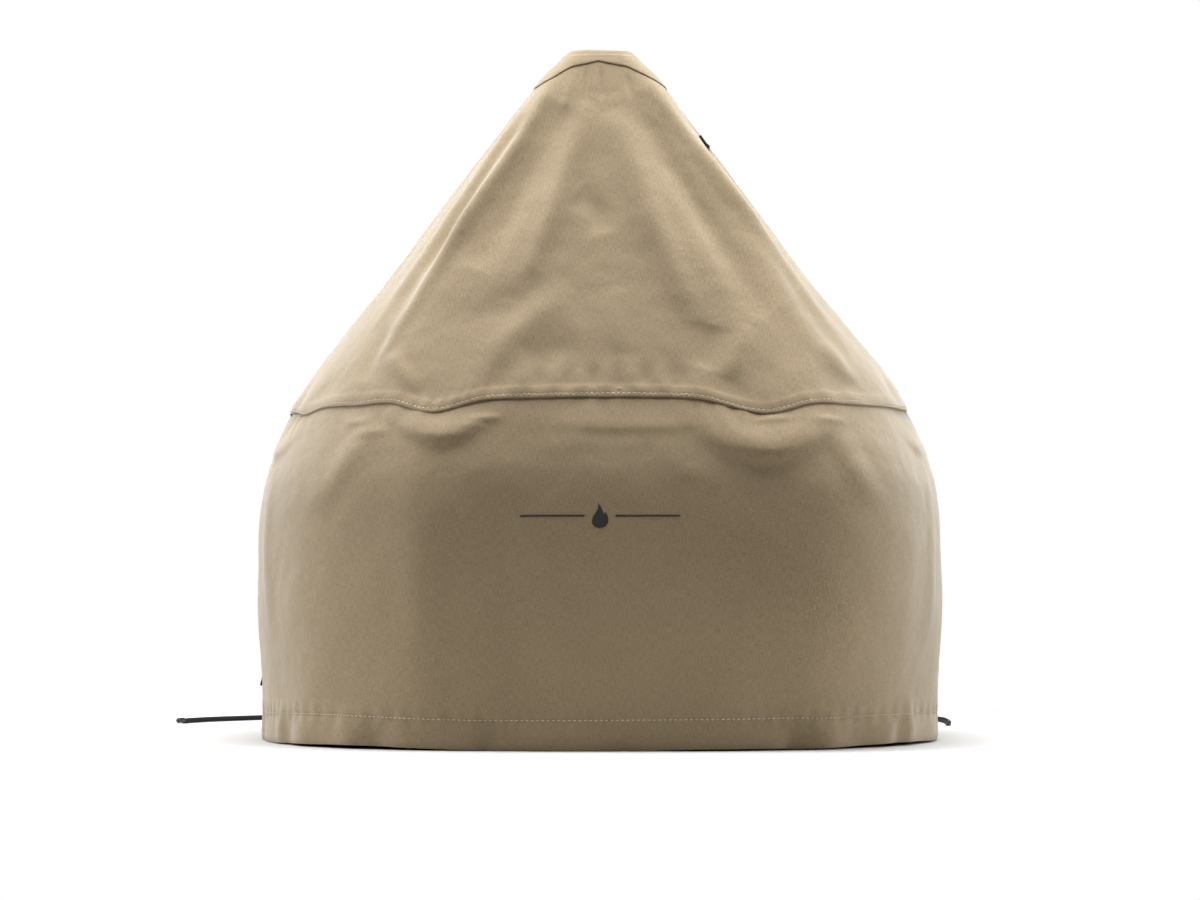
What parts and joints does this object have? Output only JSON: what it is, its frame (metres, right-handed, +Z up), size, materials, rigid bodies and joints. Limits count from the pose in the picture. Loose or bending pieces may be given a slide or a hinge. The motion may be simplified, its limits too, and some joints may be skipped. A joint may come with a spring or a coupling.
{
  "type": "grill cover",
  "caption": "Fitted fabric cover for a domed outdoor oven: straight skirt, tapering top panels, crown cap, and a drawcord hem with a sliding cord lock.",
  "frame": {"origin": "floor level under the middle of the shell's box, free cord left out", "axes": "+Z up, front of the cover towards -Y, +X to the right seen from the front"},
  "size_m": [0.915, 0.925, 0.735],
  "materials": {
    "shell_fabric": "heathered tan plain-weave polyester, matt, lightly creased",
    "lining_fabric": "coated reverse of the shell cloth, matt",
    "seam_tape": "narrow black binding tape",
    "label_cloth": "blank woven label",
    "drawcord": "black braided cord",
    "moulded_plastic": "black moulded plastic, satin",
    "spring_steel": "plain wire",
    "eyelet_metal": "gunmetal lacquer",
    "webbing": "black ribbed webbing",
    "sewing_thread": "heavy spun topstitching thread",
    "printed_mark": "charcoal screen print on the cloth"
  },
  "bodies": {
    "cover": {"skirt_front_panel": "shell_fabric", "skirt_rear_panel": "shell_fabric", "upper_front_panel": "shell_fabric", "upper_rear_panel": "shell_fabric", "crown_cap": "shell_fabric", "hem_facing_front": "lining_fabric", "hem_facing_rear": "lining_fabric", "waist_tape_front": "seam_tape", "waist_tape_rear": "seam_tape", "crown_tape_front": "seam_tape", "crown_tape_rear": "seam_tape", "skirt_seam_tape_left": "seam_tape", "skirt_seam_tape_right": "seam_tape", "upper_seam_tape_left": "seam_tape", "upper_seam_tape_right": "seam_tape", "care_label": "label_cloth", "drawcord_run": "drawcord", "drawcord_exit_left": "drawcord", "drawcord_exit_right": "drawcord", "drawcord_tail_left": "drawcord", "drawcord_tail_right": "drawcord", "cord_end_left": "moulded_plastic", "cord_end_right": "moulded_plastic", "eyelet_left": "eyelet_metal", "eyelet_right": "eyelet_metal", "eyelet_washer_left": "eyelet_metal", "eyelet_washer_right": "eyelet_metal"},
    "cord_lock": {"cord_lock_body": "moulded_plastic", "cord_lock_spring": "spring_steel"},
    "lock_plunger": {"cord_lock_plunger": "moulded_plastic"},
    "pull_tab_left": {"pull_tab_left": "webbing"},
    "pull_tab_right": {"pull_tab_right": "webbing"},
    "pull_tab_crown": {"pull_tab_crown": "webbing"}
  },
  "joints": [
    {"name": "cord_lock_slide", "type": "slide", "parent": "cover", "child": "cord_lock", "axis": [0, 1, 0], "range_m": [0, 0.035]},
    {"name": "lock_press", "type": "slide", "parent": "cord_lock", "child": "lock_plunger", "axis": [0, 0, -1], "range_m": [0, 0.003], "stiffness_N_per_m": 400, "springref_m": -0.003, "deforming": ["cord_lock_spring"]},
    {"name": "pull_tab_left_swing", "type": "hinge", "parent": "cover", "child": "pull_tab_left", "pos_m": [-0.36371, 0, 0.07295], "axis": [-0.0012, 1, 0], "range_deg": [0, 150]},
    {"name": "pull_tab_right_swing", "type": "hinge", "parent": "cover", "child": "pull_tab_right", "pos_m": [0.3511, 0.16062, 0.07295], "axis": [0.2368, -0.9716, 0], "range_deg": [0, 150]},
    {"name": "pull_tab_crown_swing", "type": "hinge", "parent": "cover", "child": "pull_tab_crown", "pos_m": [0.11103, -0.05531, 0.64482], "axis": [-0.0004, -1, 0], "range_deg": [0, 140]}
  ]
}
